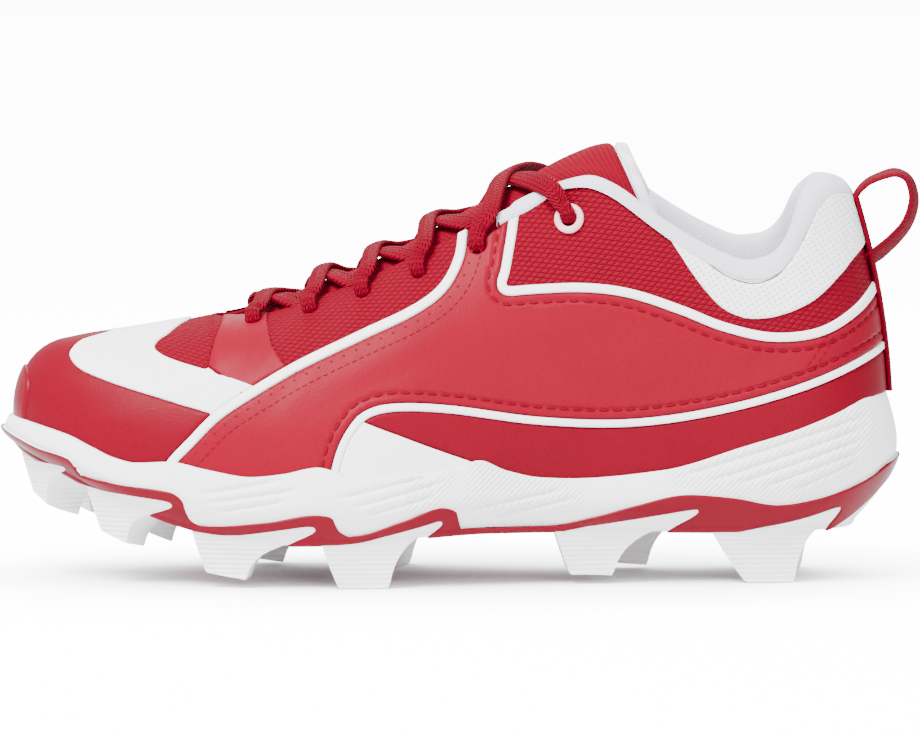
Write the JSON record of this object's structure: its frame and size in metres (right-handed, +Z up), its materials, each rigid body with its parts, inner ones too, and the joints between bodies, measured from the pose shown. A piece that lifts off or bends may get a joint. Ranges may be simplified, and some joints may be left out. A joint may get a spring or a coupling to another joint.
{
  "type": "baseball cleat",
  "caption": "Low baseball cleat for the left foot: hollow laced upper with overlays, padded collar, tongue, waved midsole and an outsole plate with moulded studs.",
  "frame": {"origin": "centre of the object's box in plan, on the ground under the studs", "axes": "+X from the toe to the heel, -Y to the outer side of the foot, +Z up"},
  "size_m": [0.2956, 0.0956, 0.1402],
  "materials": {
    "upper_red": "semi-matte coated synthetic leather and mesh",
    "overlay_red": "smooth, semi-matte",
    "overlay_white": "smooth, semi-matte",
    "sole_white": "matte moulded foam",
    "plate_red": "glossy moulded rubber",
    "stud_white": "semi-gloss moulded rubber",
    "lining_cloth": "matte knitted cloth",
    "tongue_cloth": "ribbed matte cloth",
    "webbing_red": "woven webbing",
    "lace_red": "braided",
    "eyelet_pink": "glossy"
  },
  "bodies": {
    "root": {"upper": "upper_red", "midsole": "sole_white", "outsole_plate": "plate_red", "insole": "lining_cloth", "collar_lining": "lining_cloth", "tongue": "tongue_cloth", "quarter_outer": "overlay_red", "quarter_inner": "overlay_red", "toe_band": "overlay_white", "wedge_outer": "overlay_white", "wedge_inner": "overlay_white", "ankle_panel": "overlay_white", "toe_guard": "plate_red", "heel_webbing": "webbing_red", "eyelet_outer": "eyelet_pink", "eyelet_inner": "eyelet_pink", "stud_toe_outer": "stud_white", "stud_toe_inner": "stud_white", "stud_front_outer": "stud_white", "stud_front_inner": "stud_white", "stud_ball_front_outer": "stud_white", "stud_ball_front_inner": "stud_white", "stud_ball_rear_outer": "stud_white", "stud_ball_rear_inner": "stud_white", "stud_heel_front_outer": "stud_white", "stud_heel_front_inner": "stud_white", "stud_heel_rear_outer": "stud_white", "stud_heel_rear_inner": "stud_white", "lace_crossing_1": "lace_red", "lace_crossing_2": "lace_red", "lace_crossing_3": "lace_red", "lace_crossing_4": "lace_red", "lace_crossing_5": "lace_red"}
  },
  "joints": []
}
